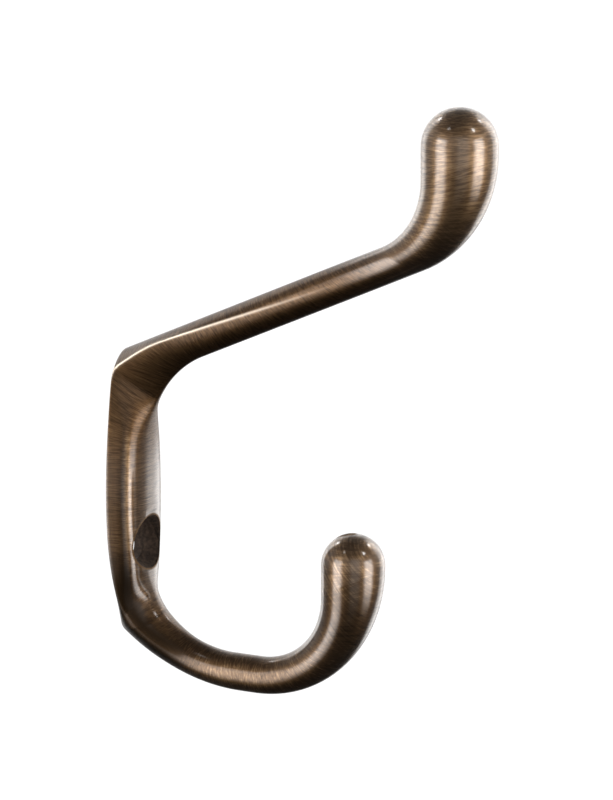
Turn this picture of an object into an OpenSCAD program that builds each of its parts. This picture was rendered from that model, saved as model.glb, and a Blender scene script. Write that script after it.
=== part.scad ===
// Coat and hat hook, cast in one piece and held to a wall by one countersunk wood screw.
// The wall is the plane X = 0, the hook reaches out along +X and +Z is up.
// The origin is the point of the wall that the screw's axis goes through.

/* [Plate] */
// Length of the flat back, from corner to corner
back_len = 45; // [40:0.5:56]
// Width of the back at its widest place
plate_w = 12.7; // [11:0.1:16]
// Height of the widest place above the lower corner
widest_up = 22; // [20:0.5:26]
// Thickness of the plate, from the wall to its front
plate_t = 4.6; // [4:0.1:6]
// Squareness of the plate's crowned front, where 2 is an ellipse
front_square = 3; // [2.4:0.2:6]
// Squareness of the plate's sides, where 2 is an ellipse
side_square = 7; // [3:0.5:9]
// Rise of the plate's front from its edges to its middle
front_crown = 0.6; // [0:0.1:1]
// Draft of the plate's sides, by which its front is narrower than its back
side_draft = 11; // [2:1:14]
// Length past each corner over which the sides' draft fades
draft_fade = 22; // [8:1:30]
// Radius of the two outer corners, on the middle line
corner_r = 0.8; // [0.6:0.1:2]
// Length over which the back's flat narrows into the round bar above the lower corner
lower_flat_end = 16; // [8:0.5:18]

/* [Screw hole] */
// Height of the screw's axis at the wall, above the lower corner
hole_up = 13; // [11:0.5:18]
// Upward tilt of the screw, which lets a driver pass over the lower knob
hole_tilt = 15; // [8:1:20]
// Diameter of the hole for the screw's shank
shank_d = 4.6; // [3.5:0.1:5.5]
// Diameter of the countersink at its mouth
head_d = 8.2; // [7:0.1:9.5]
// Included angle of the countersink
sink_angle = 82; // [80:1:100]
// Depth of the countersink's mouth below the plate's front, at its lower lip
sink_lip = 0.3; // [0.2:0.05:0.6]

/* [Upper arm] */
// Slope of the arm above level
arm_slope = 23.5; // [15:0.5:32]
// Thickness of the arm
arm_t = 5.7; // [5:0.1:7]
// Distance of the upper knob's middle from the wall
upper_reach = 59; // [50:0.5:72]
// Height of the upper knob's top above the upper corner
upper_rise = 42.2; // [40:0.2:60]
// Diameter of the upper knob
upper_knob_d = 11.8; // [9:0.2:14]
// Radius of the crook between the arm's top and the knob
crook_r = 12.4; // [6:0.2:16]
// Radius of the elbow below the knob
elbow_r = 19.5; // [12:0.5:24]
// Radius of the armpit between the arm and the plate's front
armpit_r = 16; // [8:0.5:20]

/* [Lower hook] */
// Slope below level at which the hook leaves the plate
drop_slope = 39.5; // [34:0.5:48]
// Thickness of the hook where it leaves the plate
drop_t = 6.7; // [5.5:0.1:8]
// Thickness of the hook at its lowest point
hook_t = 5.9; // [5:0.1:7]
// Depth of the lowest point below the lower corner
hook_drop = 8; // [7:0.2:12]
// Distance of the lower knob's middle from the wall
lower_reach = 41; // [36:0.5:48]
// Height of the lower knob's top above the lowest point
lower_rise = 27.6; // [24:0.2:34]
// Diameter of the lower knob
lower_knob_d = 10; // [8:0.2:12]
// Radius of the belly under the drop
belly_r = 32; // [16:1:36]
// Radius of the heel under the lower knob
heel_r = 22; // [14:0.5:24]
// Radius inside the hook, below the plate's front
lap_r = 10.5; // [4:0.5:14]
// Radius inside the hook, over the belly
bowl_r = 20; // [10:1:24]
// Radius inside the hook, beside the lower knob
throat_r = 11.7; // [6:0.1:14]

/* [Edges] */
// Fall of the upper corner, from its middle to its two edges
corner_fall = 2.4; // [1:0.1:3.2]
// Length of arm over which that fall fades
corner_fade = 9; // [4:0.5:14]
// Length of back over which that fall fades
back_fade = 9; // [7:0.5:11]
// Share of the full round that the arm's top has beside the corner
upper_crown = 0.3; // [0.1:0.05:0.6]
// Length over which the upper arm's edge fades into the round
upper_fade = 42; // [20:1:50]
// Length past the upper corner over which the plate's width still narrows to the arm's
upper_neck = 14; // [6:0.5:20]
// Length past the lower corner over which the plate's width still narrows to the hook's
lower_neck = 12; // [4:0.5:20]
// Length of plate, up to each corner, over which its square section becomes an arm's oval
square_fade = 18; // [6:1:22]

/* [Hidden] */
$fn = 72;

// Sides of a section, steps on a straight and on a bend, and rings on a knob's cap
section_sides = 32;
straight_steps = 5;
bend_steps = 16;
cap_steps = 7;
// Share of a bend's steps that each straight lead takes
lead_share = 0.4;
// Share of a straight that the bends at its two ends may take together
bend_room = 0.98;
// Length of back and of arm over which the edges turn round the upper corner
edge_turn = 4;
// Overlap of a cutter past the face that it cuts
cut_over = 1;

upper_r = upper_knob_d / 2;
lower_r = lower_knob_d / 2;

// Heights of the two corners, the two knobs' equators and the lowest point
lower_corner_z = -hole_up;
upper_corner_z = back_len - hole_up;
upper_cap_z = upper_corner_z + upper_rise - upper_r;
lowest_z = lower_corner_z - hook_drop;
lower_cap_z = lowest_z + lower_rise - lower_r;

// Height of the arm's top and underside, and of the drop's two sides, at a distance from the wall
function arm_top(x) = upper_corner_z + x * tan(arm_slope);
function arm_under(x) = arm_top(x) - arm_t / cos(arm_slope);
function drop_under(x) = lower_corner_z - x * tan(drop_slope);
function drop_top(x) = drop_under(x) + drop_t / cos(drop_slope);
bowl_x = (drop_top(0) - lowest_z - hook_t) / tan(drop_slope);

// Each rail is a run of straights in the middle plane, as [x, z, radius of the bend there]
inner_rail = [
    [upper_reach + upper_r, upper_cap_z, 0],
    [upper_reach + upper_r, arm_under(upper_reach + upper_r), elbow_r],
    [plate_t, arm_under(plate_t), armpit_r],
    [plate_t, drop_top(plate_t), lap_r],
    [bowl_x, lowest_z + hook_t, bowl_r],
    [lower_reach - lower_r, lowest_z + hook_t, throat_r],
    [lower_reach - lower_r, lower_cap_z, 0]
];
outer_rail = [
    [upper_reach - upper_r, upper_cap_z, 0],
    [upper_reach - upper_r, arm_top(upper_reach - upper_r), crook_r],
    [0, upper_corner_z, corner_r],
    [0, lower_corner_z, corner_r],
    [hook_drop / tan(drop_slope), lowest_z, belly_r],
    [lower_reach + lower_r, lowest_z, heel_r],
    [lower_reach + lower_r, lower_cap_z, 0]
];
// Vertices at the plate's two ends, the same on both rails
upper_end = 2;
lower_end = 3;

function xz(p) = [p[0], p[1]];
function unit(v) = v / norm(v);
function mix(a, b, t) = a + (b - a) * t;
function limit(t) = min(1, max(0, t));
function ease(t) = limit(t) * limit(t) * (3 - 2 * limit(t));

// Signed angle of the turn at vertex i of a rail, and the length of straight that its bend takes
function heading(rail, i) = let (d = xz(rail[i + 1]) - xz(rail[i])) atan2(d[1], d[0]);
function turn(rail, i) = let (a = heading(rail, i) - heading(rail, i - 1)) a - 360 * round(a / 360);
function wish(rail, i) = rail[i][2] == 0 ? 0 : rail[i][2] * tan(abs(turn(rail, i)) / 2);
function span(rail, i) = norm(xz(rail[i + 1]) - xz(rail[i]));
function room(rail, i) = min(1, bend_room * span(rail, i) / (wish(rail, i) + wish(rail, i + 1)));
function tangent(rail, i) = rail[i][2] == 0 ? 0 : wish(rail, i) * min(room(rail, i - 1), room(rail, i));

// Distance from an outer corner, along direction d, of the point that faces the inner bend's end
function facing(i, d) = (xz(inner_rail[i]) - xz(outer_rail[i])) * d + tangent(inner_rail, i);
// Straight leads that count as part of the outer bends at the plate's ends, before and after the corner
arm_lead = facing(upper_end, [cos(arm_slope), sin(arm_slope)]);
upper_back_lead = facing(upper_end, [0, -1]);
lower_back_lead = facing(lower_end, [0, 1]);
outer_leads = [
    for (i = [0 : len(outer_rail) - 1])
        i == upper_end ? [arm_lead, upper_back_lead] :
        i == lower_end ? [lower_back_lead, tangent(outer_rail, i)] :
        [tangent(outer_rail, i), tangent(outer_rail, i)]
];
inner_leads = [for (i = [0 : len(inner_rail) - 1]) [tangent(inner_rail, i), tangent(inner_rail, i)]];

// Points of the straight after vertex i, and of the bend at vertex i with its leads
function straight(rail, leads, i) =
    let (
        d = unit(xz(rail[i + 1]) - xz(rail[i])),
        a = xz(rail[i]) + d * leads[i][1],
        b = xz(rail[i + 1]) - d * leads[i + 1][0]
    )
    [for (k = [0 : straight_steps - 1]) mix(a, b, k / straight_steps)];
function bend(rail, leads, i) =
    let (
        angle = turn(rail, i),
        from = heading(rail, i - 1),
        towards = heading(rail, i),
        taken = tangent(rail, i),
        radius = taken / tan(abs(angle) / 2),
        side = sign(angle),
        way_in = [cos(from), sin(from)],
        way_out = [cos(towards), sin(towards)],
        centre = xz(rail[i]) - taken * way_in + side * radius * [-sin(from), cos(from)],
        arc_from = leads[i][0] > taken ? lead_share : 0,
        arc_to = leads[i][1] > taken ? 1 - lead_share : 1
    )
    [for (k = [0 : bend_steps - 1])
        let (t = k / bend_steps, a = from + angle * (t - arc_from) / (arc_to - arc_from))
        t < arc_from ? xz(rail[i]) - way_in * mix(leads[i][0], taken, t / arc_from) :
        t > arc_to ? xz(rail[i]) + way_out * mix(taken, leads[i][1], (t - arc_to) / (1 - arc_to)) :
        centre + side * radius * [sin(a), -cos(a)]];
function run(rail, leads) =
    let (last = len(rail) - 1)
    concat(
        straight(rail, leads, 0),
        [for (i = [1 : last - 1]) each concat(bend(rail, leads, i), straight(rail, leads, i))],
        [xz(rail[last])]
    );

outer_run = run(outer_rail, outer_leads);
inner_run = run(inner_rail, inner_leads);
stations = len(outer_run);

// Length gone along the outer side at each station, from the upper knob's equator
function travelled(k) = k == 0 || k == stations ? 0 : norm(outer_run[k] - outer_run[k - 1]);
gone = [for (k = 0, sum = 0; k < stations; k = k + 1, sum = sum + travelled(k)) sum];
// Steps from the upper knob's equator to the straight between the plate's two ends
back_from = upper_end * (straight_steps + bend_steps);
back_to = back_from + straight_steps;
upper_gone = gone[back_from] - upper_back_lead;
lower_gone = gone[back_to] + lower_back_lead;
widest_gone = lower_gone - widest_up;

// Length that a station lies past its corner, and below zero on the plate
function on_upper(k) = gone[k] < widest_gone;
function beyond(k) = on_upper(k) ? upper_gone - gone[k] : gone[k] - lower_gone;
// Share of a fall that is left at a length from where it is whole
function left(length, fade) = pow(1 - limit(length / fade), 2);

// Half width of the bar at a station
function half_width(k, thickness) =
    let (
        out = beyond(k),
        half_back = on_upper(k) ? widest_gone - upper_gone : lower_gone - widest_gone,
        neck = on_upper(k) ? upper_neck : lower_neck,
        neck_t = mix(on_upper(k) ? arm_t : drop_t, thickness, ease(out / neck))
    )
    mix(plate_w, neck_t, ease((half_back + out) / (half_back + neck))) / 2;

// Way from the outer side's middle line to its edges at a station, on the upper arm and on the lower hook
arm_down = [sin(arm_slope), -cos(arm_slope)];
function upper_fall(out, across) =
    let (
        thickness = norm(across),
        down = out > arm_lead ? across / thickness : mix([0, -1], arm_down, ease((1 + out / edge_turn) / 2)),
        crown = upper_crown * arm_t / 2
    )
    out > 0
        ? down * (mix(crown, thickness / 2, ease(out / upper_fade))
            + (corner_fall - crown) * left(out, corner_fade))
        : down * corner_fall * left(-out, back_fade);
function lower_fall(out, across) = across / 2 * left(-out, lower_flat_end);
// Sharpness of the edge beside the outer side: 2 is a crisp edge and 1 a full round
function sharpness(k) =
    let (out = beyond(k))
    mix(2, 1, ease(on_upper(k) ? out / upper_fade : 1 + out / lower_flat_end));
// Share of the plate's squarish section that has gone over to an arm's oval
function oval(k) = ease(1 + beyond(k) / square_fade);

// Thickness of the bar at a station, square to the line half-way between its two sides
function halfway(k) = (outer_run[k] + inner_run[k]) / 2;
function thickness_at(k) =
    let (
        along = unit(halfway(min(k + 1, stations - 1)) - halfway(max(k - 1, 0))),
        across = inner_run[k] - outer_run[k]
    )
    abs(across[0] * along[1] - across[1] * along[0]);

// One closed section: a squarish half on the inner side and a shallow crown on the outer side
function section(k) =
    let (
        across = inner_run[k] - outer_run[k],
        fall = on_upper(k) ? upper_fall(beyond(k), across) : lower_fall(beyond(k), across),
        width = half_width(k, thickness_at(k)),
        lean = tan(side_draft) * (1 - ease(beyond(k) / draft_fade)) * norm(across - fall),
        bow = mix(front_crown, 0, oval(k)) / norm(across),
        y_power = 2 / mix(front_square, 2, oval(k)),
        rise_power = 2 / mix(side_square, 2, oval(k)),
        edge = sharpness(k)
    )
    [for (j = [0 : section_sides - 1])
        let (
            a = 360 * j / section_sides,
            inner = sin(a) >= 0,
            rise = pow(abs(sin(a)), inner ? rise_power : edge),
            side = inner ? sign(cos(a)) * pow(abs(cos(a)), y_power) : cos(a),
            y = inner ? (width - lean * rise) * side : width * side,
            p = outer_run[k] + (inner ? mix(fall, across * (1 - bow * side * side), rise) : fall * (1 - rise))
        )
        [p[0], y, p[1]]];

// Rings of a knob's round cap, from its equator towards its pole
function cap(x, z, r, side) =
    [for (i = [1 : cap_steps - 1])
        let (lift = 90 * i / cap_steps)
        [for (j = [0 : section_sides - 1])
            let (a = 360 * j / section_sides)
            [x + side * r * cos(lift) * sin(a), r * cos(lift) * cos(a), z + r * sin(lift)]]];
function reversed(list) = [for (i = [len(list) - 1 : -1 : 0]) list[i]];

// Solid of the casting, as a loft of rings that ends in a point at each knob
module casting() {
    rings = concat(
        reversed(cap(upper_reach, upper_cap_z, upper_r, 1)),
        [for (k = [0 : stations - 1]) section(k)],
        cap(lower_reach, lower_cap_z, lower_r, -1)
    );
    count = len(rings);
    upper_pole = count * section_sides;
    lower_pole = upper_pole + 1;
    points = concat(
        [for (ring = rings) each ring],
        [[upper_reach, 0, upper_cap_z + upper_r], [lower_reach, 0, lower_cap_z + lower_r]]
    );
    function at(i, j) = i * section_sides + j % section_sides;
    skin = [for (i = [0 : count - 2], j = [0 : section_sides - 1])
        each [
            [at(i, j), at(i + 1, j), at(i + 1, j + 1)],
            [at(i, j), at(i + 1, j + 1), at(i, j + 1)]
        ]];
    ends = [for (j = [0 : section_sides - 1])
        each [
            [upper_pole, at(0, j), at(0, j + 1)],
            [lower_pole, at(count - 1, j + 1), at(count - 1, j)]
        ]];
    polyhedron(points = points, faces = concat(skin, ends), convexity = 6);
}

// Cutter for the screw: shank hole, countersink and the way in for the head, along the tilted axis
module screw_hole() {
    sink_h = (head_d - shank_d) / 2 / tan(sink_angle / 2);
    // Distance along the axis of the countersink's mouth
    mouth = (plate_t - sink_lip) / cos(hole_tilt) - head_d / 2 * tan(hole_tilt);
    back_over = shank_d / 2 * tan(hole_tilt) + cut_over;
    rotate([0, 90 - hole_tilt, 0]) {
        translate([0, 0, -back_over])
            cylinder(d = shank_d, h = back_over + mouth);
        translate([0, 0, mouth - sink_h])
            cylinder(d1 = shank_d, d2 = head_d, h = sink_h);
        translate([0, 0, mouth])
            cylinder(d = head_d, h = head_d * tan(hole_tilt) + cut_over);
    }
}

// The hook: casting with its screw hole
module hook() {
    color("#5a4636")
        difference() {
            casting();
            screw_hole();
        }
}

hook();
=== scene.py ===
"""Coat and hat hook, cast in one piece and finished in brushed antique brass under clear lacquer.

Lengths are metres in the part's own frame: the wall is X = 0, +X points out of it and +Z is up.
"""
import logging
import math
from dataclasses import dataclass, field
from enum import Enum
from functools import cached_property
from typing import Any

import bpy
import numpy as np
from mathutils import Matrix, Vector


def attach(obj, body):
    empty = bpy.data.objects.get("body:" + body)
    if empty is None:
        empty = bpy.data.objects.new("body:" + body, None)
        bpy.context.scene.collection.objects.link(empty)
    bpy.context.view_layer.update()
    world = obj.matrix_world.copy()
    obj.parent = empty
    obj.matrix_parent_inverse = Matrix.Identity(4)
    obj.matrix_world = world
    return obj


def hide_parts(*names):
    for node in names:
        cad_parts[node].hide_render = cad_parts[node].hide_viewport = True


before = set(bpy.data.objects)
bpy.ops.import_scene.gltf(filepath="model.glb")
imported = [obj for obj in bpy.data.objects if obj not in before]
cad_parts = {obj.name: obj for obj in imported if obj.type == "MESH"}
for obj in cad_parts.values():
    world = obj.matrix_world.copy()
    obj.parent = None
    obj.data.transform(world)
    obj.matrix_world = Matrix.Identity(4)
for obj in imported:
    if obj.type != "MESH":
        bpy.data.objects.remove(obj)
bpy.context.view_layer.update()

LOG = logging.getLogger("hook")
MM = 0.001
WELD = 0.0005 * MM
SLIVER = 0.002 * MM
IMAGE_HEIGHT = 800
HALF_TURN = 180.0
OUT, ACROSS, UP = Vector((1, 0, 0)), Vector((0, 1, 0)), Vector((0, 0, 1))

Socket = bpy.types.NodeSocket
Colour = tuple[float, float, float, float]
Value = float | np.ndarray


class Stroke(Enum):
    """Ways in which the brass was brushed."""

    AROUND = "around the bar"
    SLANTING = "slanting across the knobs"


class Landmark(Enum):
    """Places along the bar from which stretches of its finish are measured."""

    UPPER_POLE = "top of the upper knob"
    UPPER_CORNER = "upper corner of the plate's back"
    LOWER_CORNER = "lower corner of the plate's back"
    LOWER_POLE = "top of the lower knob"


def ease(t: float) -> float:
    """Gives the smooth step of t between 0 and 1."""
    t = min(1.0, max(0.0, t))
    return t * t * (3 - 2 * t)


def left(length: float, fade: float) -> float:
    """Gives the share of a fall that is left at a length from where it is whole."""
    return (1 - min(1.0, max(0.0, length / fade))) ** 2


def mix(a: Value, b: Value, t: Value) -> Value:
    """Gives the value at share t of the way from a to b."""
    return a + (b - a) * t


def unit(v: np.ndarray) -> np.ndarray:
    """Gives a vector's direction as a vector of length 1."""
    return v / np.linalg.norm(v)


def pick(thing: bpy.types.Object) -> None:
    """Makes one object the only selected one and the one that is worked on."""
    bpy.ops.object.select_all(action="DESELECT")
    bpy.context.view_layer.objects.active = thing
    thing.select_set(True)


def roll_tube(name: str, rings: np.ndarray) -> tuple[bpy.types.Object, np.ndarray, np.ndarray]:
    """Rolls a flat grid into a tube, with each row of the grid laid on one ring.

    Args:
        name: Name of the new object.
        rings: Places of the tube's points, as rows, columns and x, y, z.

    Returns:
        The tube, still open along its seam, and each point's row and column.
    """
    rows, columns = rings.shape[:2]
    bpy.ops.object.select_all(action="DESELECT")
    bpy.ops.mesh.primitive_grid_add(
        x_subdivisions=columns, y_subdivisions=rows - 1, size=1.0, calc_uvs=False
    )
    tube = bpy.context.object
    tube.name = name
    flat = np.empty(len(tube.data.vertices) * 3)
    tube.data.vertices.foreach_get("co", flat)
    flat = flat.reshape(-1, 3) + 0.5
    column = np.rint(flat[:, 0] * columns).astype(int)
    row = np.rint(flat[:, 1] * (rows - 1)).astype(int)
    tube.data.vertices.foreach_set("co", rings[row, column % columns].ravel())
    return tube, row, column


def close_tube(tube: bpy.types.Object) -> None:
    """Welds a rolled tube's seam and poles and turns its faces outwards."""
    pick(tube)
    bpy.ops.object.mode_set(mode="EDIT")
    bpy.ops.mesh.select_all(action="SELECT")
    bpy.ops.mesh.remove_doubles(threshold=WELD)
    bpy.ops.mesh.normals_make_consistent(inside=False)
    bpy.ops.object.mode_set(mode="OBJECT")


@dataclass(frozen=True)
class Corner:
    """A corner of a rail in the middle plane, with the radius of its bend."""

    x: float
    z: float
    bend: float = 0.0

    @property
    def place(self) -> np.ndarray:
        """Gives the corner's x and z."""
        return np.array((self.x, self.z))


@dataclass
class Rail:
    """A run of straights and round bends that one side of the bar follows."""

    corners: list[Corner]
    leads: dict[int, tuple[float, float]] = field(default_factory=dict)
    straight_steps: int = 14
    bend_steps: int = 40
    lead_share: float = 0.4
    bend_room: float = 0.98

    def step(self, i: int) -> np.ndarray:
        """Gives the way from corner i to the next."""
        return self.corners[i + 1].place - self.corners[i].place

    def heading(self, i: int) -> float:
        """Gives the angle of the straight after corner i."""
        return math.atan2(*self.step(i)[::-1])

    def turn(self, i: int) -> float:
        """Gives the signed angle of the turn at corner i."""
        return math.remainder(self.heading(i) - self.heading(i - 1), math.tau)

    def wish(self, i: int) -> float:
        """Gives the length of straight that corner i's full bend takes."""
        bend = self.corners[i].bend
        return bend * math.tan(abs(self.turn(i)) / 2) if bend else 0.0

    def room(self, i: int) -> float:
        """Gives the share of their wishes that the two bends on straight i have room for."""
        length = float(np.linalg.norm(self.step(i)))
        return min(1.0, self.bend_room * length / (self.wish(i) + self.wish(i + 1)))

    def tangent(self, i: int) -> float:
        """Gives the length of straight that corner i's bend takes."""
        return self.wish(i) * min(self.room(i - 1), self.room(i)) if self.corners[i].bend else 0.0

    def lead(self, i: int) -> tuple[float, float]:
        """Gives the lengths before and after corner i that are stepped as part of its bend."""
        return self.leads.get(i, (self.tangent(i), self.tangent(i)))

    def straight(self, i: int) -> list[np.ndarray]:
        """Gives the points of the straight after corner i."""
        way = unit(self.step(i))
        start = self.corners[i].place + way * self.lead(i)[1]
        end = self.corners[i + 1].place - way * self.lead(i + 1)[0]
        return [mix(start, end, k / self.straight_steps) for k in range(self.straight_steps)]

    def bend(self, i: int) -> list[np.ndarray]:
        """Gives the points of the bend at corner i, with the straight leads that belong to it."""
        corner = self.corners[i].place
        way_in, way_out = unit(self.step(i - 1)), unit(self.step(i))
        before, after = self.lead(i)
        taken = self.tangent(i)
        turn = self.turn(i)
        radius = math.copysign(taken / math.tan(abs(turn) / 2), turn)
        centre = corner - taken * way_in + radius * np.array((-way_in[1], way_in[0]))
        arc_from = self.lead_share if before > taken else 0.0
        arc_to = 1 - self.lead_share if after > taken else 1.0
        points = []
        for k in range(self.bend_steps):
            t = k / self.bend_steps
            if t < arc_from:
                points.append(corner - way_in * mix(before, taken, t / arc_from))
            elif t > arc_to:
                points.append(corner + way_out * mix(taken, after, (t - arc_to) / (1 - arc_to)))
            else:
                a = self.heading(i - 1) + turn * (t - arc_from) / (arc_to - arc_from)
                points.append(centre + radius * np.array((math.sin(a), -math.cos(a))))
        return points

    def run(self) -> np.ndarray:
        """Gives all the rail's points from its first corner to its last."""
        points = self.straight(0)
        for i in range(1, len(self.corners) - 1):
            points += self.bend(i) + self.straight(i)
        return np.array(points + [self.corners[-1].place])


@dataclass
class Casting:
    """The cast bar: flat-backed plate, upper arm and lower hook, each ending in a round knob."""

    back_len: float = 45 * MM
    plate_w: float = 12.7 * MM
    widest_up: float = 22 * MM
    plate_t: float = 4.6 * MM
    front_square: float = 3.0
    side_square: float = 7.0
    front_crown: float = 0.6 * MM
    side_draft: float = math.radians(11)
    draft_fade: float = 22 * MM
    corner_r: float = 0.8 * MM
    lower_flat_end: float = 16 * MM
    hole_up: float = 13 * MM
    arm_slope: float = math.radians(23.5)
    arm_t: float = 5.7 * MM
    upper_reach: float = 59 * MM
    upper_rise: float = 42.2 * MM
    upper_r: float = 5.9 * MM
    crook_r: float = 12.4 * MM
    elbow_r: float = 19.5 * MM
    armpit_r: float = 16 * MM
    drop_slope: float = math.radians(39.5)
    drop_t: float = 6.7 * MM
    hook_t: float = 5.9 * MM
    hook_drop: float = 8 * MM
    lower_reach: float = 41 * MM
    lower_rise: float = 27.6 * MM
    lower_r: float = 5 * MM
    belly_r: float = 32 * MM
    heel_r: float = 22 * MM
    lap_r: float = 10.5 * MM
    bowl_r: float = 20 * MM
    throat_r: float = 11.7 * MM
    corner_fall: float = 2.4 * MM
    corner_fade: float = 9 * MM
    back_fade: float = 9 * MM
    upper_crown: float = 0.3
    upper_fade: float = 42 * MM
    upper_neck: float = 14 * MM
    lower_neck: float = 12 * MM
    square_fade: float = 18 * MM
    edge_turn: float = 4 * MM
    edge_soft: float = 0.2 * MM
    # Width of the painted highlight along the arm's upper edge
    highlight_w: float = 0.22 * MM
    sides: int = 112
    cap_rings: int = 18
    profile_points: int = 400
    profile_step: float = 0.03 * MM
    soft_steps: int = 24
    turn_weight: float = 0.55
    upper_end: int = 2
    lower_end: int = 3
    marks: dict[Landmark, float] = field(default_factory=dict)

    @property
    def upper_corner_z(self) -> float:
        """Gives the height of the corner between the back and the upper arm."""
        return self.back_len - self.hole_up

    @property
    def lowest_z(self) -> float:
        """Gives the height of the hook's lowest point."""
        return -self.hole_up - self.hook_drop

    @property
    def upper_cap_z(self) -> float:
        """Gives the height of the upper knob's equator."""
        return self.upper_corner_z + self.upper_rise - self.upper_r

    @property
    def lower_cap_z(self) -> float:
        """Gives the height of the lower knob's equator."""
        return self.lowest_z + self.lower_rise - self.lower_r

    def arm_top(self, x: float) -> float:
        """Gives the height of the arm's top at distance x from the wall."""
        return self.upper_corner_z + x * math.tan(self.arm_slope)

    def arm_under(self, x: float) -> float:
        """Gives the height of the arm's underside at distance x from the wall."""
        return self.arm_top(x) - self.arm_t / math.cos(self.arm_slope)

    def drop_top(self, x: float) -> float:
        """Gives the height of the drop's front at distance x from the wall."""
        return -self.hole_up - x * math.tan(self.drop_slope) + self.drop_t / math.cos(self.drop_slope)

    @cached_property
    def inner_rail(self) -> Rail:
        """Gives the rail of the side that faces away from the wall."""
        bowl_z = self.lowest_z + self.hook_t
        bowl_x = (self.drop_top(0) - bowl_z) / math.tan(self.drop_slope)
        knob_x = self.upper_reach + self.upper_r
        throat_x = self.lower_reach - self.lower_r
        return Rail([
            Corner(knob_x, self.upper_cap_z),
            Corner(knob_x, self.arm_under(knob_x), self.elbow_r),
            Corner(self.plate_t, self.arm_under(self.plate_t), self.armpit_r),
            Corner(self.plate_t, self.drop_top(self.plate_t), self.lap_r),
            Corner(bowl_x, bowl_z, self.bowl_r),
            Corner(throat_x, bowl_z, self.throat_r),
            Corner(throat_x, self.lower_cap_z),
        ])

    @cached_property
    def outer_rail(self) -> Rail:
        """Gives the rail of the back and of the sides that run on from it."""
        knob_x = self.upper_reach - self.upper_r
        heel_x = self.lower_reach + self.lower_r
        rail = Rail([
            Corner(knob_x, self.upper_cap_z),
            Corner(knob_x, self.arm_top(knob_x), self.crook_r),
            Corner(0, self.upper_corner_z, self.corner_r),
            Corner(0, -self.hole_up, self.corner_r),
            Corner(self.hook_drop / math.tan(self.drop_slope), self.lowest_z, self.belly_r),
            Corner(heel_x, self.lowest_z, self.heel_r),
            Corner(heel_x, self.lower_cap_z),
        ])
        inner = self.inner_rail

        def facing(i: int, way: tuple[float, float]) -> float:
            """Gives how far from outer corner i, along way, the inner bend ends."""
            apart = inner.corners[i].place - rail.corners[i].place
            return float(apart @ np.array(way)) + inner.tangent(i)

        up, low = self.upper_end, self.lower_end
        along_arm = (math.cos(self.arm_slope), math.sin(self.arm_slope))
        rail.leads = {
            up: (facing(up, along_arm), facing(up, (0, -1))),
            low: (facing(low, (0, 1)), rail.tangent(low)),
        }
        return rail

    @cached_property
    def outer(self) -> np.ndarray:
        """Gives the outer rail's points."""
        return self.outer_rail.run()

    @cached_property
    def inner(self) -> np.ndarray:
        """Gives the inner rail's points, one for each outer point."""
        return self.inner_rail.run()

    @cached_property
    def gone(self) -> np.ndarray:
        """Gives the length gone along the outer side at each station."""
        steps = np.linalg.norm(np.diff(self.outer, axis=0), axis=1)
        return np.concatenate(((0.0,), np.cumsum(steps)))

    @cached_property
    def corners_gone(self) -> tuple[float, float]:
        """Gives the length gone at the upper and at the lower corner."""
        rail = self.outer_rail
        back_from = self.upper_end * (rail.straight_steps + rail.bend_steps)
        upper = self.gone[back_from] - rail.leads[self.upper_end][1]
        lower = self.gone[back_from + rail.straight_steps] + rail.leads[self.lower_end][0]
        return float(upper), float(lower)

    @cached_property
    def widest_gone(self) -> float:
        """Gives the length gone at the plate's widest place."""
        return self.corners_gone[1] - self.widest_up

    def on_upper(self, k: int) -> bool:
        """Tells whether station k belongs to the upper arm's end of the bar."""
        return bool(self.gone[k] < self.widest_gone)

    def beyond(self, k: int) -> float:
        """Gives how far station k lies past its corner, with the plate below zero."""
        upper, lower = self.corners_gone
        return float(upper - self.gone[k] if self.on_upper(k) else self.gone[k] - lower)

    def half_width(self, k: int) -> float:
        """Gives half of the bar's width across the middle plane at station k."""
        out = self.beyond(k)
        upper, lower = self.corners_gone
        half_back, neck, neck_t = lower - self.widest_gone, self.lower_neck, self.drop_t
        if self.on_upper(k):
            half_back, neck, neck_t = self.widest_gone - upper, self.upper_neck, self.arm_t
        middle = (self.outer + self.inner) / 2
        along = unit(middle[min(k + 1, len(middle) - 1)] - middle[max(k - 1, 0)])
        across = self.inner[k] - self.outer[k]
        thickness = abs(across[0] * along[1] - across[1] * along[0])
        end_w = mix(neck_t, thickness, ease(out / neck))
        return mix(self.plate_w, end_w, ease((half_back + out) / (half_back + neck))) / 2

    def fall(self, k: int) -> np.ndarray:
        """Gives the way from the outer side's middle line to its edges at station k."""
        out = self.beyond(k)
        across = self.inner[k] - self.outer[k]
        if not self.on_upper(k):
            return across / 2 * left(-out, self.lower_flat_end)
        thickness = float(np.linalg.norm(across))
        arm_down = np.array((math.sin(self.arm_slope), -math.cos(self.arm_slope)))
        down = mix(np.array((0.0, -1.0)), arm_down, ease((1 + out / self.edge_turn) / 2))
        if out <= 0:
            return down * self.corner_fall * left(-out, self.back_fade)
        if out > self.outer_rail.leads[self.upper_end][0]:
            down = across / thickness
        crown = self.upper_crown * self.arm_t / 2
        depth = mix(crown, thickness / 2, ease(out / self.upper_fade))
        return down * (depth + (self.corner_fall - crown) * left(out, self.corner_fade))

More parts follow.
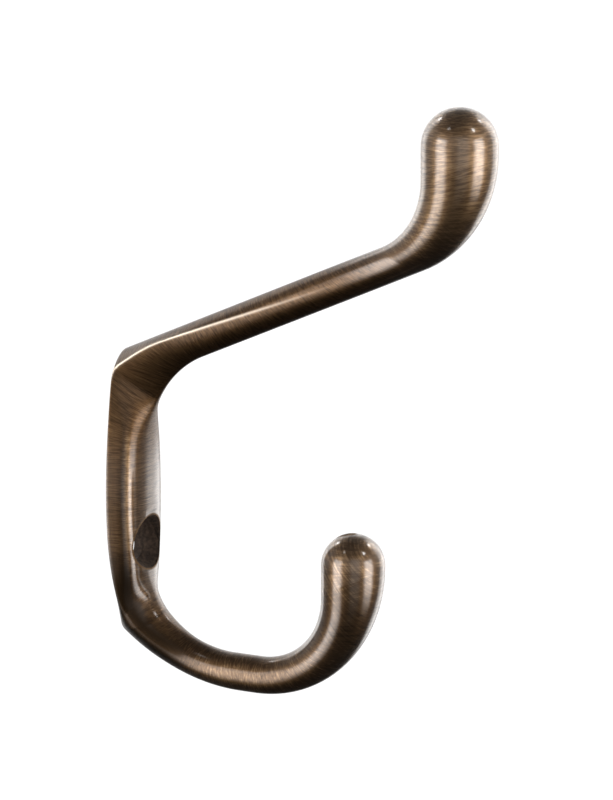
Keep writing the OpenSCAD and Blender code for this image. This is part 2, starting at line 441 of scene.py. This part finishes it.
    def half_section(self, k: int) -> np.ndarray:
        """Gives one half of station k's section, from the middle of its outer side to its inner side.

        Args:
            k: The station.

        Returns:
            Points as y, as x and z from the outer rail and as the painted highlight on the arm's edge,
            with edges softened and points closest where the section turns most.
        """
        out = self.beyond(k)
        across = self.inner[k] - self.outer[k]
        fall = self.fall(k)
        width = self.half_width(k)
        oval = ease(1 + out / self.square_fade)
        drafted = 1 - ease(out / self.draft_fade)
        lean = math.tan(self.side_draft) * drafted * float(np.linalg.norm(across - fall))
        bow = mix(self.front_crown, 0, oval) / float(np.linalg.norm(across))
        rounding = out / self.upper_fade if self.on_upper(k) else 1 + out / self.lower_flat_end
        edge = mix(2, 1, ease(rounding))
        a = np.linspace(0, math.pi / 2, self.profile_points)[:, None]
        outer_half = np.hstack((width * np.sin(a), fall * (1 - np.cos(a) ** edge)))
        side = np.cos(a) ** (2 / mix(self.front_square, 2, oval))
        rise = np.sin(a) ** (2 / mix(self.side_square, 2, oval))
        front = across * (1 - bow * side ** 2)
        inner_half = np.hstack(((width - lean * rise) * side, mix(fall, front, rise)))
        half = self.even_points(np.concatenate((outer_half, inner_half[1:])), len(outer_half) - 1)
        # Painted highlight, strongest on the arm's crisp upper edge and falling off away from it
        crisp = (edge - 1) * ease(1 + out / self.edge_turn) if self.on_upper(k) else 0.0
        half[:, 3] = crisp * np.exp(-(half[:, 3] / self.highlight_w) ** 2)
        return half

    def even_points(self, profile: np.ndarray, edge: int) -> np.ndarray:
        """Softens a half section's edges and spaces its points by length and by turn.

        Args:
            profile: Dense points of the half section.
            edge: Which of them is the edge.

        Returns:
            As many points as half the bar's sides, and one more, with each one's way from the edge.
        """
        steps = np.linalg.norm(np.diff(profile, axis=0), axis=1)
        lengths = np.concatenate(((0.0,), np.cumsum(steps)))
        count = int(lengths[-1] / self.profile_step) + 1
        at = np.linspace(0, lengths[-1], count)
        even = np.stack([np.interp(at, lengths, line) for line in profile.T], axis=1)
        pad = self.soft_steps
        flip = np.array((-1.0, 1.0, 1.0))
        padded = np.concatenate((even[pad:0:-1] * flip, even, even[-2:-pad - 2:-1] * flip))
        spread = np.arange(-pad, pad + 1) * self.profile_step / self.edge_soft
        kernel = np.exp(-spread ** 2 / 2)
        kernel /= kernel.sum()
        soft = np.stack([np.convolve(line, kernel, "valid") for line in padded.T], axis=1)
        way = np.diff(soft, axis=0)
        way /= np.linalg.norm(way, axis=1, keepdims=True)
        turns = np.linalg.norm(np.diff(way, axis=0), axis=1)
        turned = np.concatenate(((0.0,), turns, (0.0,)))
        measure = mix(at / at[-1], np.cumsum(turned) / np.sum(turned), self.turn_weight)
        wanted = np.linspace(0, measure[-1], self.sides // 2 + 1)
        lines = [*soft.T, at - lengths[edge]]
        return np.stack([np.interp(wanted, measure, line) for line in lines], axis=1)

    def ring(self, k: int) -> np.ndarray:
        """Gives station k's closed ring of points in space, each with its edge's painted highlight."""
        half = self.half_section(k)
        whole = np.concatenate((half, half[-2:0:-1] * np.array((-1.0, 1.0, 1.0, 1.0))))
        flat = self.outer[k] + whole[:, 1:3]
        return np.stack((flat[:, 0], whole[:, 0], flat[:, 1], whole[:, 3]), axis=1)

    def cap(self, ring: np.ndarray, radius: float) -> list[np.ndarray]:
        """Gives the rings of a knob's round top, from its equator's neighbour to its pole."""
        centre = ring.mean(axis=0)
        lifts = [math.pi / 2 * i / self.cap_rings for i in range(1, self.cap_rings + 1)]
        rise = np.array((0.0, 0.0, radius, 0.0))
        return [centre + (ring - centre) * math.cos(a) + rise * math.sin(a) for a in lifts]

    def rings(self) -> np.ndarray:
        """Gives all the bar's rings, with their painted edge highlight, from the upper knob's pole to the
        lower knob's.
        """
        body = [self.ring(k) for k in range(len(self.outer))]
        upper = self.cap(body[0], self.upper_r)
        lower = self.cap(body[-1], self.lower_r)
        return np.array(upper[::-1] + body + lower)

    def build(self) -> bpy.types.Object:
        """Models the bar without its hole.

        Returns:
            The bar, whose corners carry the attribute bar: each point's place, in millimetres,
            on the same bar laid out straight, and a second attribute: the painted highlight on the arm's
            edges.
        """
        highlit_rings = self.rings()
        rings = highlit_rings[:, :, :3]
        bar, row, column = roll_tube("hook_casting", rings)
        middles = rings.mean(axis=1)
        steps = np.linalg.norm(np.diff(middles, axis=0), axis=1)
        along = np.concatenate(((0.0,), np.cumsum(steps)))
        around = math.tau * column / self.sides
        straight_r = self.lower_r
        laid = np.stack((straight_r * np.cos(around), straight_r * np.sin(around), along[row]), axis=1)
        vertex = np.empty(len(bar.data.loops), dtype=np.int32)
        bar.data.loops.foreach_get("vertex_index", vertex)
        layer = bar.data.attributes.new("bar", "FLOAT_VECTOR", "CORNER")
        layer.data.foreach_set("vector", (laid[vertex] / MM).ravel())
        # Each corner carries the painted highlight of the arm's edge for the finish
        highlight_values = bar.data.attributes.new("edge_highlight", "FLOAT", "CORNER")
        highlight_values.data.foreach_set("value", highlit_rings[row, column % self.sides, 3][vertex])
        corners = [self.cap_rings + int(np.argmin(abs(self.gone - gone))) for gone in self.corners_gone]
        self.marks = {mark: float(along[at]) for mark, at in zip(Landmark, (0, *corners, -1))}
        close_tube(bar)
        return bar


@dataclass
class ScrewHole:
    """The countersunk screw hole, tilted so that a driver passes over the lower knob."""

    tilt: float = math.radians(15)
    shank_d: float = 4.6 * MM
    head_d: float = 8.2 * MM
    sink_angle: float = math.radians(82)
    sink_lip: float = 0.3 * MM
    rim_r: float = 0.14 * MM
    rim_lift: float = 0.08
    over: float = 1 * MM
    sides: int = 96
    rim_steps: tuple[float, ...] = (0.2, 0.4, 0.6, 0.8, 1.0)

    @property
    def axis(self) -> Vector:
        """Gives the direction of the screw's axis out of the wall."""
        return Vector((math.cos(self.tilt), 0, math.sin(self.tilt)))

    @property
    def sink_h(self) -> float:
        """Gives the height of the countersink's cone along the axis."""
        return (self.head_d - self.shank_d) / 2 / math.tan(self.sink_angle / 2)

    def mouth(self, plate_t: float) -> float:
        """Gives how far along the axis the countersink's mouth lies in a plate of that thickness."""
        return (plate_t - self.sink_lip) / math.cos(self.tilt) - self.head_d / 2 * math.tan(self.tilt)

    def ring(self, distance: float, diameter: float) -> list[Vector]:
        """Gives a circle square to the axis, at a distance along it."""
        up = Vector((-math.sin(self.tilt), 0, math.cos(self.tilt)))
        turns = [math.tau * i / self.sides for i in range(self.sides)]
        r = diameter / 2
        return [self.axis * distance + r * (up * math.cos(a) + ACROSS * math.sin(a)) for a in turns]

    def rim(self, bar: bpy.types.Object, mouth: list[Vector]) -> list[list[Vector]]:
        """Gives the rings that round the hole's rim into the plate's front.

        Args:
            bar: The casting, which the rim follows.
            mouth: The ring at the countersink's mouth.

        Returns:
            Rings from the wall of the hole outwards, the last clear of the casting.
        """
        rings: list[list[Vector]] = [[] for _ in self.rim_steps]
        clear = []
        for point in mouth:
            _, place, normal, _ = bar.ray_cast(point, self.axis)
            radial = point - self.axis * point.dot(self.axis)
            outward = (radial - normal * radial.dot(normal)).normalized()
            start = place - self.axis * self.rim_r
            end = place + outward * self.rim_r + normal * self.rim_r * self.rim_lift
            for ring, t in zip(rings, self.rim_steps):
                ring.append((1 - t) ** 2 * start + 2 * t * (1 - t) * place + t * t * end)
            clear.append(end + outward * self.rim_r + normal * self.over)
        return rings + [clear]

    def cut(self, bar: bpy.types.Object, plate_t: float) -> None:
        """Cuts the hole through the bar.

        Args:
            bar: The casting.
            plate_t: Thickness of its plate.
        """
        mouth = self.mouth(plate_t)
        back = -self.shank_d / 2 * math.tan(self.tilt) - self.over
        rings = [
            self.ring(back, 0),
            self.ring(back, self.shank_d),
            self.ring(mouth - self.sink_h, self.shank_d),
            self.ring(mouth, self.head_d),
        ]
        rings += self.rim(bar, rings[-1])
        end = sum(rings[-1], Vector()) / self.sides
        rings.append([end] * self.sides)
        places = np.array([[tuple(point) for point in ring] for ring in rings])
        cutter, _, _ = roll_tube("screw_cutter", places)
        close_tube(cutter)
        pick(bar)
        cutting = bar.modifiers.new("screw_hole", "BOOLEAN")
        cutting.operation = "DIFFERENCE"
        cutting.solver = "EXACT"
        cutting.object = cutter
        bpy.ops.object.modifier_apply(modifier=cutting.name)
        bpy.data.objects.remove(cutter)
        bpy.ops.object.mode_set(mode="EDIT")
        bpy.ops.mesh.select_all(action="SELECT")
        bpy.ops.mesh.dissolve_degenerate(threshold=SLIVER)
        bpy.ops.mesh.normals_make_consistent(inside=False)
        bpy.ops.object.mode_set(mode="OBJECT")


class Signal:
    """A shader value on which Python arithmetic adds Math nodes."""

    def __init__(self, graph: "Graph", socket: Socket) -> None:
        """Wraps an output socket of the graph."""
        self.graph = graph
        self.socket = socket

    def __add__(self, other: "Signal | float") -> "Signal":
        """Adds a value."""
        return self.graph.math("ADD", self, other)

    def __sub__(self, other: "Signal | float") -> "Signal":
        """Takes a value away."""
        return self.graph.math("SUBTRACT", self, other)

    def __rsub__(self, other: float) -> "Signal":
        """Takes this value from a number."""
        return self.graph.math("SUBTRACT", other, self)

    def __mul__(self, other: "Signal | float") -> "Signal":
        """Multiplies by a value."""
        return self.graph.math("MULTIPLY", self, other)

    def __truediv__(self, other: "Signal | float") -> "Signal":
        """Divides by a value."""
        return self.graph.math("DIVIDE", self, other)

    def __abs__(self) -> "Signal":
        """Drops the sign."""
        return self.graph.math("ABSOLUTE", self)

    __radd__ = __add__
    __rmul__ = __mul__

    def step(self, low: float, high: float) -> "Signal":
        """Rises smoothly from 0 at low to 1 at high, or falls where low is the greater."""
        settings = {"interpolation_type": "SMOOTHSTEP"}
        if low <= high:
            inputs = {"Value": self, "From Min": low, "From Max": high}
        else:
            inputs = {"Value": self, "From Min": high, "From Max": low, "To Min": 1.0, "To Max": 0.0}
        return Signal(self.graph, self.graph.node("ShaderNodeMapRange", settings, inputs).outputs[0])


class Graph:
    """A node tree that is built by calls."""

    def __init__(self, tree: bpy.types.NodeTree) -> None:
        """Empties the tree."""
        self.tree = tree
        tree.nodes.clear()

    def node(
        self, kind: str, settings: dict[str, Any] | None = None, inputs: dict[Any, Any] | None = None
    ) -> bpy.types.Node:
        """Adds a node.

        Args:
            kind: The node's type.
            settings: Its properties, set first.
            inputs: Values, signals or sockets for its inputs, by name or number.

        Returns:
            The node.
        """
        node = self.tree.nodes.new(kind)
        for name, value in (settings or {}).items():
            setattr(node, name, value)
        for key, value in (inputs or {}).items():
            socket = value.socket if isinstance(value, Signal) else value
            if isinstance(socket, Socket):
                self.tree.links.new(socket, node.inputs[key])
            else:
                node.inputs[key].default_value = socket
        return node

    def math(self, operation: str, *values: "Signal | float") -> Signal:
        """Adds a Math node on up to three values."""
        node = self.node("ShaderNodeMath", {"operation": operation}, dict(enumerate(values)))
        return Signal(self, node.outputs[0])

    def dot(self, vector: Socket, way: Vector) -> Signal:
        """Gives the part of a vector that lies along a fixed way."""
        dotted = self.node("ShaderNodeVectorMath", {"operation": "DOT_PRODUCT"}, {0: vector, 1: way})
        return Signal(self, dotted.outputs["Value"])

    def scaled(self, vector: Socket, factors: tuple[float, float, float]) -> Socket:
        """Multiplies a vector's parts by fixed factors."""
        settings = {"operation": "MULTIPLY"}
        return self.node("ShaderNodeVectorMath", settings, {0: vector, 1: factors}).outputs[0]

    def noise(self, vector: Socket, scale: float, detail: float, rough: float = 0.5) -> Signal:
        """Gives a noise of values about zero."""
        inputs = {"Vector": vector, "Scale": scale, "Detail": detail, "Roughness": rough}
        return Signal(self, self.node("ShaderNodeTexNoise", None, inputs).outputs[0]) - 0.5

    def blend(self, factor: Signal, first: Any, second: Any) -> Socket:
        """Mixes two colours by a factor from 0 to 1."""
        settings = {"data_type": "RGBA", "clamp_factor": True}
        return self.node("ShaderNodeMix", settings, {0: factor, 6: first, 7: second}).outputs[2]


@dataclass(frozen=True)
class Fade:
    """Two values of a measure: the one where a finish is missing and the one where it is whole."""

    none: float
    whole: float

    def at(self, measure: Signal) -> Signal:
        """Gives the finish's share, from 0 to 1, at a measure."""
        return measure.step(self.none, self.whole)


@dataclass(frozen=True)
class Stretch:
    """A stretch of the bar with a finish of its own, by fades in millimetres past landmarks."""

    fades: tuple[tuple[Landmark, Fade], ...]
    strength: float


@dataclass
class Surface:
    """Where on the hook the shaded point lies."""

    graph: Graph
    marks: dict[Landmark, float]

    @cached_property
    def bar(self) -> Socket:
        """Gives the place on the bar laid out straight, in millimetres."""
        return self.graph.node("ShaderNodeAttribute", {"attribute_name": "bar"}).outputs["Vector"]

    @cached_property
    def edge_highlight(self) -> Signal:
        """Gives the painted highlight on the arm's edges."""
        highlight_values = self.graph.node("ShaderNodeAttribute", {"attribute_name": "edge_highlight"})
        return Signal(self.graph, highlight_values.outputs["Fac"])

    @cached_property
    def place(self) -> Socket:
        """Gives the place in the part's own frame, in metres."""
        return self.graph.node("ShaderNodeTexCoord").outputs["Object"]

    @cached_property
    def along(self) -> Signal:
        """Gives the way along the bar from the upper knob's pole, in millimetres."""
        return self.graph.dot(self.bar, UP)

    def part(self, way: Vector) -> Signal:
        """Gives the part of the place that lies along a way, in millimetres."""
        return self.graph.dot(self.place, way / MM)

    def mark(self, landmark: Landmark) -> float:
        """Gives how far along the bar a landmark lies, in millimetres."""
        return self.marks[landmark] / MM

    def share(self, stretch: Stretch) -> Signal:
        """Gives a stretch's strength at the point, which is 0 outside it."""
        starts = [(self.mark(landmark), fade) for landmark, fade in stretch.fades]
        shares = (self.along.step(start + fade.none, start + fade.whole) for start, fade in starts)
        return math.prod(shares, start=stretch.strength)

    def cover(self, stretches: tuple[Stretch, ...]) -> Signal:
        """Gives the strengths of all the stretches that the point lies in, summed."""
        return sum(self.share(stretch) for stretch in stretches)


@dataclass(frozen=True)
class AntiqueBrass:
    """Brass darkened with age, brushed back to warm metal and lacquered."""

    # Near-black colour of the painted shade on the plate's lower end
    painted_shade_black: Colour = (0.010, 0.006, 0.003, 1)
    dark: Colour = (0.030, 0.016, 0.007, 1)
    warm: Colour = (0.064, 0.035, 0.0155, 1)
    gold: Colour = (0.150, 0.090, 0.044, 1)
    # Near-white colour of the painted highlight along the arm's edge
    painted_highlight: Colour = (0.500, 0.435, 0.360, 1)
    # Near-black colour of the hole's inside, painted shade
    bore_shade: Colour = (0.018, 0.011, 0.007, 1)
    sandy: Colour = (0.060, 0.038, 0.026, 1)
    warm_fade: Fade = Fade(0.15, 0.62)
    gold_fade: Fade = Fade(0.62, 1.05)

    # Brush lines and mottling
    line_per_mm: float = 6.5
    broad_per_mm: float = 6.5 / 3
    line_stretch: float = 0.1
    line_detail: float = 3.0
    line_break: float = 0.6
    line_depth: float = 0.03 * MM
    slant: float = math.radians(52)
    slant_per_mm: float = 3.4
    slant_slow_per_mm: float = 0.25
    slant_deep_per_mm: float = 0.4
    slant_detail: float = 2.0
    patina_scale: float = 90.0
    patina_detail: float = 3.0
    sand_scale: float = 1700.0
    sand_detail: float = 5.0
    sand_fade: Fade = Fade(-0.2, 0.25)

    # What lightens and darkens the tone, painted shade and painted highlights among it
    mean_tone: float = 0.44
    line_tone: float = 1.5
    broad_tone: float = 1.0
    patina_tone: float = 0.4
    foot_shade_tone: float = 0.7
    foot_shade_blend: float = 0.7
    corner_highlight_tone: float = 0.5
    rim_highlight_gold: float = 0.5
    edge_highlight_strength: float = 0.85

    # Metal and lacquer
    roughness: float = 0.46
    line_rough: float = 0.25
    bore_rough: float = 0.35
    rim_rough: float = 0.25
    bore_crust: float = 0.4
    coat_weight: float = 0.9
    line_coat: float = 1.3
    foot_shade_dull: float = 0.8
    coat_roughness: float = 0.16
    coat_ior: float = 1.5

    # Where each finish lies, in millimetres
    # Where the painted shade on the plate's lower end lies
    foot_fade: Fade = Fade(14, 5)
    foot_side_fade: Fade = Fade(3.75, 2)
    bore_fade: Fade = Fade(0.06, 0.02)
    rim_fade: Fade = Fade(0.4, 0.2)
    # Where the painted highlight on the plate's front corners lies
    corner_across: tuple[Fade, ...] = (Fade(4.2, 4.9), Fade(5.8, 5.5))
    corner_out: tuple[Fade, ...] = (Fade(2.6, 3.2), Fade(6, 5))
    corner_up: tuple[Fade, ...] = (Fade(-6, 2), Fade(30, 20))
    scratched: tuple[Stretch, ...] = (
        Stretch(((Landmark.UPPER_POLE, Fade(12, 20)), (Landmark.UPPER_POLE, Fade(40, 26))), 0.4),
        Stretch(((Landmark.LOWER_POLE, Fade(-22, -14)),), 0.8),
    )
    # Lighter tone on the knobs and along the lower hook: partly brass brushed back, partly a painted
    # sheen for light from in front
    rubbed_and_sheen: tuple[Stretch, ...] = (
        Stretch(((Landmark.UPPER_POLE, Fade(36, 14)),), 0.36),
        Stretch(((Landmark.LOWER_POLE, Fade(-16, -5)),), 0.3),
        Stretch(((Landmark.LOWER_CORNER, Fade(8, 18)), (Landmark.LOWER_POLE, Fade(-12, -24))), 0.2),
    )
    thin_coat: tuple[Stretch, ...] = (
        Stretch(((Landmark.UPPER_POLE, Fade(26, 40)), (Landmark.UPPER_CORNER, Fade(20, 8))), 0.85),
        Stretch(((Landmark.LOWER_CORNER, Fade(-6, 2)), (Landmark.LOWER_POLE, Fade(-18, -30))), 0.65),
    )

    def strokes(self, surface: Surface, way: Stroke, per_mm: float) -> Signal:
        """Gives brush lines.

        Args:
            surface: Where the shaded point lies.
            way: The way in which the lines run.
            per_mm: How many of them there are to the millimetre.

        Returns:
            A signal about zero.
        """
        graph = surface.graph
        if way is Stroke.AROUND:
            slow = per_mm * self.line_stretch
            lined = graph.scaled(surface.bar, (slow, slow, per_mm))
            return graph.noise(lined, 1.0, self.line_detail, self.line_break)
        run = Vector((math.cos(self.slant), 0, -math.sin(self.slant)))
        parts = {
            0: surface.part(run) * self.slant_slow_per_mm,
            1: surface.part(run.cross(ACROSS)) * per_mm,
            2: surface.part(ACROSS) * self.slant_deep_per_mm,
        }
        lined = graph.node("ShaderNodeCombineXYZ", None, parts).outputs[0]
        return graph.noise(lined, 1.0, self.slant_detail, self.line_break)

    def shaded_foot(self, surface: Surface) -> Signal:
        """Gives the sides of the plate's lower end near the back's lower corner, where shade is painted
        dark.
        """
        off_side = abs(surface.graph.dot(surface.bar, OUT))
        off_foot = abs(surface.along - surface.mark(Landmark.LOWER_CORNER))
        return self.foot_fade.at(off_foot) * self.foot_side_fade.at(off_side)

    def painted_highlight_corners(self, surface: Surface) -> Signal:
        """Gives the plate's front corners, where a lighter strip is painted as a highlight."""
        limits = (
            (abs(surface.part(ACROSS)), self.corner_across),
            (surface.part(OUT), self.corner_out),
            (surface.part(UP), self.corner_up),
        )
        return math.prod(fade.at(measure) for measure, fades in limits for fade in fades)

    def inside_and_rim(self, surface: Surface, hole: ScrewHole, plate_t: float) -> tuple[Signal, Signal]:
        """Gives the hole's rough inside, painted dark as shade, and its rim, painted lighter as a
        highlight.

        Args:
            surface: Where the shaded point lies.
            hole: The screw hole.
            plate_t: Thickness of the plate that it goes through.

        Returns:
            The inside's share and the rim's share.
        """
        graph = surface.graph
        square = graph.node(
            "ShaderNodeVectorMath", {"operation": "CROSS_PRODUCT"}, {0: surface.place, 1: hole.axis}
        ).outputs[0]
        length = graph.node("ShaderNodeVectorMath", {"operation": "LENGTH"}, {0: square}).outputs["Value"]
        up_cone = graph.dot(surface.place, hole.axis) - (hole.mouth(plate_t) - hole.sink_h)
        flare = graph.math("MAXIMUM", up_cone * math.tan(hole.sink_angle / 2), 0.0)
        flare = graph.math("MINIMUM", flare, (hole.head_d - hole.shank_d) / 2)
        off_wall = (Signal(graph, length) - flare - hole.shank_d / 2) / MM
        rim_highlight = self.rim_fade.at(off_wall) * up_cone.step(0.0, hole.sink_h)
        return self.bore_fade.at(off_wall), rim_highlight

    def material(self, casting: Casting, hole: ScrewHole) -> bpy.types.Material:
        """Builds the finish.

        Args:
            casting: The bar, for where its landmarks are.
            hole: The screw hole, whose inside was never brushed and is painted dark as shade.

        Returns:
            The material.
        """
        material = bpy.data.materials.new("antique_brass")
        material.use_nodes = True
        graph = Graph(material.node_tree)
        surface = Surface(graph, casting.marks)
        shaded_foot = self.shaded_foot(surface)
        shaded_bore, rim_highlight = self.inside_and_rim(surface, hole, casting.plate_t)

        scratched = surface.cover(self.scratched)
        fine = self.strokes(surface, Stroke.AROUND, self.line_per_mm)
        slant = self.strokes(surface, Stroke.SLANTING, self.slant_per_mm)
        lines = fine * (1 - scratched) + slant * scratched
        broad = self.strokes(surface, Stroke.AROUND, self.broad_per_mm)
        patina = graph.noise(surface.place, self.patina_scale, self.patina_detail)

        # Painted shade darkens the sides of the plate's lower end
        tone = self.mean_tone + surface.cover(self.rubbed_and_sheen) - shaded_foot * self.foot_shade_tone
        # Painted highlight: a lighter strip along the plate's front corners
        tone = tone + self.painted_highlight_corners(surface) * self.corner_highlight_tone
        tone = tone + lines * self.line_tone + broad * self.broad_tone + patina * self.patina_tone
        sand = graph.noise(surface.place, self.sand_scale, self.sand_detail)
        colour = graph.blend(self.warm_fade.at(tone), self.dark, self.warm)
        colour = graph.blend(self.gold_fade.at(tone), colour, self.gold)
        # Painted shade: the plate's lower sides are blended towards near-black
        colour = graph.blend(shaded_foot * self.foot_shade_blend, colour, self.painted_shade_black)
        # Painted highlight: the rounding of the hole's rim is painted gold
        colour = graph.blend(rim_highlight * self.rim_highlight_gold, colour, self.gold)
        # Painted highlight: a near-white line along the arm's upper edge
        colour = graph.blend(surface.edge_highlight * self.edge_highlight_strength, colour, self.painted_highlight)
        # Painted shade: the hole's inside is near-black, flecked with the sandy colour of its rough
        # casting
        cast = graph.blend(self.sand_fade.at(sand), self.bore_shade, self.sandy)
        colour = graph.blend(shaded_bore, colour, cast)

        roughness = self.roughness - lines * self.line_rough
        roughness = roughness + shaded_bore * self.bore_rough + rim_highlight * self.rim_rough
        coat = (self.coat_weight + lines * self.line_coat) * (1 - surface.cover(self.thin_coat))
        # Lacquer is dulled where the plate's lower end is painted dark, and taken off the hole's inside
        # and rim
        coat = coat * (1 - shaded_bore) * (1 - rim_highlight) * (1 - shaded_foot * self.foot_shade_dull)
        relief = {"Strength": 1.0, "Distance": self.line_depth, "Height": lines}
        bump = graph.node("ShaderNodeBump", None, relief)
        inputs = {
            "Base Color": colour,
            "Metallic": 1 - shaded_bore * self.bore_crust,
            "Roughness": roughness,
            "Coat Weight": coat,
            "Coat Roughness": self.coat_roughness,
            "Coat IOR": self.coat_ior,
            "Normal": bump.outputs[0],
        }
        shader = graph.node("ShaderNodeBsdfPrincipled", None, inputs)
        graph.node("ShaderNodeOutputMaterial", None, {"Surface": shader.outputs[0]})
        return material


@dataclass
class Hook:
    """The whole hook: the casting with its screw hole, in its finish."""

    casting: Casting = field(default_factory=Casting)
    hole: ScrewHole = field(default_factory=ScrewHole)
    finish: AntiqueBrass = field(default_factory=AntiqueBrass)
    smooth_angle: float = math.radians(35)

    def build(self) -> bpy.types.Object:
        """Models and dresses the hook and ties it to the frame."""
        piece = self.casting.build()
        self.hole.cut(piece, self.casting.plate_t)
        bpy.ops.object.shade_smooth_by_angle(angle=self.smooth_angle)
        piece.data.materials.clear()
        piece.data.materials.append(self.finish.material(self.casting, self.hole))
        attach(piece, "root")
        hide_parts("hook")
        return piece


@dataclass
class PhotoCamera:
    """The camera at the photograph's angle and framing."""

    azimuth: float = math.radians(29)
    elevation: float = math.radians(11.5)
    distance: float = 0.7
    shift_right: float = 28.65 * MM
    shift_up: float = 23.19 * MM
    pixels_per_metre: float = 6279.0
    sensor: float = 36.0

    @property
    def right(self) -> Vector:
        """Gives the way to the picture's right."""
        return Vector((math.cos(self.azimuth), math.sin(self.azimuth), 0))

    @property
    def front(self) -> Vector:
        """Gives the level way from the hook towards the camera."""
        return Vector((math.sin(self.azimuth), -math.cos(self.azimuth), 0))

    def build(self) -> bpy.types.Object:
        """Places the camera and makes it the scene's own."""
        right = self.right
        back = self.front * math.cos(self.elevation) + UP * math.sin(self.elevation)
        up = back.cross(right)
        data = bpy.data.cameras.new("photo_camera")
        data.sensor_width = self.sensor
        data.lens = self.pixels_per_metre * self.distance * self.sensor / IMAGE_HEIGHT
        camera = bpy.data.objects.new("photo_camera", data)
        bpy.context.scene.collection.objects.link(camera)
        place = right * self.shift_right + up * self.shift_up + back * self.distance
        camera.matrix_world = Matrix.Translation(place) @ Matrix((right, up, back)).transposed().to_4x4()
        bpy.context.scene.camera = camera
        return camera


@dataclass(frozen=True)
class Panel:
    """A lit panel, by the angles in degrees at which the hook sees it from the camera's side."""

    side: float
    half_side: float
    soft_side: float
    low: float
    soft_low: float
    high: float
    soft_high: float
    strength: float

    def glow(self, graph: Graph, side: Signal, height: Signal) -> Signal:
        """Gives the panel's light in the direction at angles side and height."""
        off_side = abs(graph.math("WRAP", side - self.side, HALF_TURN, -HALF_TURN))
        inside = off_side.step(self.half_side + self.soft_side, self.half_side)
        inside = inside * height.step(self.low - self.soft_low, self.low)
        return inside * height.step(self.high + self.soft_high, self.high) * self.strength


@dataclass
class Studio:
    """The pale floor and the soft lights round the hook."""

    camera: PhotoCamera
    floor_gap: float = 30 * MM
    floor_r: float = 6.0
    floor_sides: int = 96
    pale: Colour = (0.95, 0.95, 0.95, 1)
    floor_glow: float = 1.04
    floor_glow_share: float = 0.8
    white: float = 1.0
    low_glow: float = 0.05
    high_glow: float = 0.22
    room_fade: Fade = Fade(-25, 25)

    # Strips beside the camera, its own fill, the room's band, the back, and small lamps above
    panels: tuple[Panel, ...] = (
        Panel(-60, 8, 15, -13, 34, 20, 4, 10.5),
        Panel(58, 8, 14, -13, 30, 20, 4, 11.5),
        Panel(8, 9, 16, -10, 36, 25, 14, 1.2),
        Panel(0, 180, 1, 0, 22, 25, 20, 0.6),
        Panel(180, 45, 14, -30, 10, 35, 10, 0.9),
        Panel(130, 14, 8, -35, 10, 40, 10, 2.6),
        Panel(-132, 8, 8, -35, 10, 40, 10, 1.9),
        Panel(-55, 1.5, 3, 52, 3, 55, 3, 14.0),
        Panel(58, 2.5, 3, 46, 3, 50, 3, 40.0),
        Panel(-138, 2, 3, 38, 3, 41, 3, 22.0),
        Panel(124, 2, 3, 42, 3, 45, 3, 26.0),
    )

    def floor_finish(self) -> bpy.types.Material:
        """Builds the floor's pale finish, which is clear from below."""
        material = bpy.data.materials.new("pale_floor")
        material.use_nodes = True
        graph = Graph(material.node_tree)
        matt = graph.node("ShaderNodeBsdfDiffuse", None, {"Color": self.pale}).outputs[0]
        lamp = {"Color": self.pale, "Strength": self.floor_glow}
        lit = graph.node("ShaderNodeEmission", None, lamp).outputs[0]
        mixed = {0: self.floor_glow_share, 1: matt, 2: lit}
        shown = graph.node("ShaderNodeMixShader", None, mixed).outputs[0]
        below = graph.node("ShaderNodeNewGeometry").outputs["Backfacing"]
        clear = graph.node("ShaderNodeBsdfTransparent").outputs[0]
        surface = graph.node("ShaderNodeMixShader", None, {0: below, 1: shown, 2: clear}).outputs[0]
        graph.node("ShaderNodeOutputMaterial", None, {"Surface": surface})
        return material

    def floor(self, lowest: float) -> bpy.types.Object:
        """Makes the pale floor below the hook's lowest point."""
        bpy.ops.object.select_all(action="DESELECT")
        bpy.ops.mesh.primitive_circle_add(
            vertices=self.floor_sides,
            radius=self.floor_r,
            fill_type="NGON",
            location=(0, 0, lowest - self.floor_gap),
        )
        bpy.ops.object.transform_apply(location=True)
        floor = bpy.context.object
        floor.name = "floor"
        floor.visible_glossy = False
        floor.data.materials.append(self.floor_finish())
        return floor

    def light(self) -> None:
        """Lights the studio: white to look at, and lit panels in a dim room where metal mirrors it."""
        world = bpy.data.worlds.new("studio")
        bpy.context.scene.world = world
        world.use_nodes = True
        graph = Graph(world.node_tree)
        way = graph.node("ShaderNodeTexCoord").outputs["Generated"]
        rightward, forward = graph.dot(way, self.camera.right), graph.dot(way, self.camera.front)
        side = graph.math("ARCTAN2", rightward, forward) * math.degrees(1)
        height = graph.math("ARCSINE", graph.dot(way, UP)) * math.degrees(1)
        glow = self.low_glow + self.room_fade.at(height) * (self.high_glow - self.low_glow)
        for panel in self.panels:
            glow = glow + panel.glow(graph, side, height)
        path = graph.node("ShaderNodeLightPath").outputs
        seen, scattered = (Signal(graph, path[name]) for name in ("Is Camera Ray", "Is Diffuse Ray"))
        plain = graph.math("MAXIMUM", seen, scattered)
        strength = glow * (1 - plain) + plain * self.white
        shade = graph.node("ShaderNodeBackground", None, {"Color": (1, 1, 1, 1), "Strength": strength})
        graph.node("ShaderNodeOutputWorld", None, {"Surface": shade.outputs[0]})
        bpy.context.scene.view_settings.view_transform = "Standard"


def main() -> None:
    """Builds the hook, its floor and lights and the camera."""
    logging.basicConfig(level=logging.INFO, format="%(name)s: %(message)s")
    hook = Hook()
    piece = hook.build()
    LOG.info("%s has %d faces", piece.name, len(piece.data.polygons))
    view = PhotoCamera()
    studio = Studio(view)
    floor = studio.floor(hook.casting.lowest_z)
    LOG.info("%s lies at %.3f m", floor.name, hook.casting.lowest_z - studio.floor_gap)
    studio.light()
    camera = view.build()
    LOG.info("%s has a lens of %.1f mm", camera.name, camera.data.lens)


if __name__ == "__main__":
    main()
